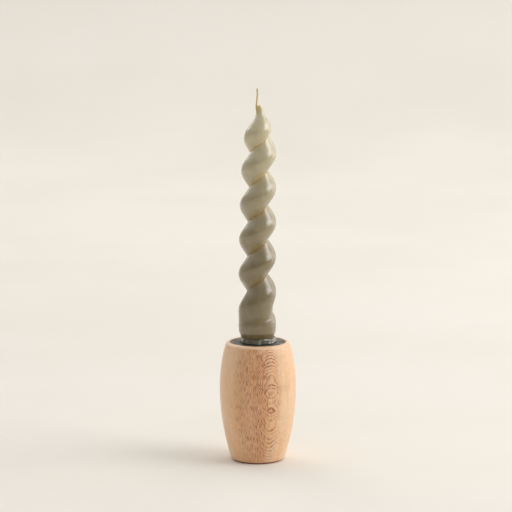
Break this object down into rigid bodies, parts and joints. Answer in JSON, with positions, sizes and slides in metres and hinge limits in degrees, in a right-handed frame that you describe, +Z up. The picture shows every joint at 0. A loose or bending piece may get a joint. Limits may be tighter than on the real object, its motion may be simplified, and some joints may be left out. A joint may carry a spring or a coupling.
{
  "type": "candlestick",
  "caption": "Turned barrel-shaped wooden candlestick with a black cast candle cup let into its top, holding a twisted dinner candle that lifts out.",
  "frame": {"origin": "centre of the felt's underside, on the surface it stands on", "axes": "+Z up along the barrel's and the candle's axis, -Y towards the viewer, +X to the viewer's right"},
  "size_m": [0.051, 0.051, 0.249],
  "materials": {
    "beech": "oiled satin, plain beech",
    "black_iron": "black paint over a fine cast grain",
    "screw_steel": "zinc plated",
    "felt": "dark brown felt",
    "candle_wax": "satin wax, olive grey-green",
    "cotton": "braided cotton, natural",
    "collar_wax": "soft wax, slightly clear"
  },
  "bodies": {
    "holder": {"wooden_body": "beech", "candle_cup": "black_iron", "cup_screw": "screw_steel", "felt_pad": "felt"},
    "loose_candle": {"candle": "candle_wax", "wick": "cotton", "wax_collar": "collar_wax"}
  },
  "joints": [
    {"name": "candle_lift", "type": "slide", "parent": "holder", "child": "loose_candle", "axis": [0, 0, 1], "range_m": [0, 0.04]}
  ]
}
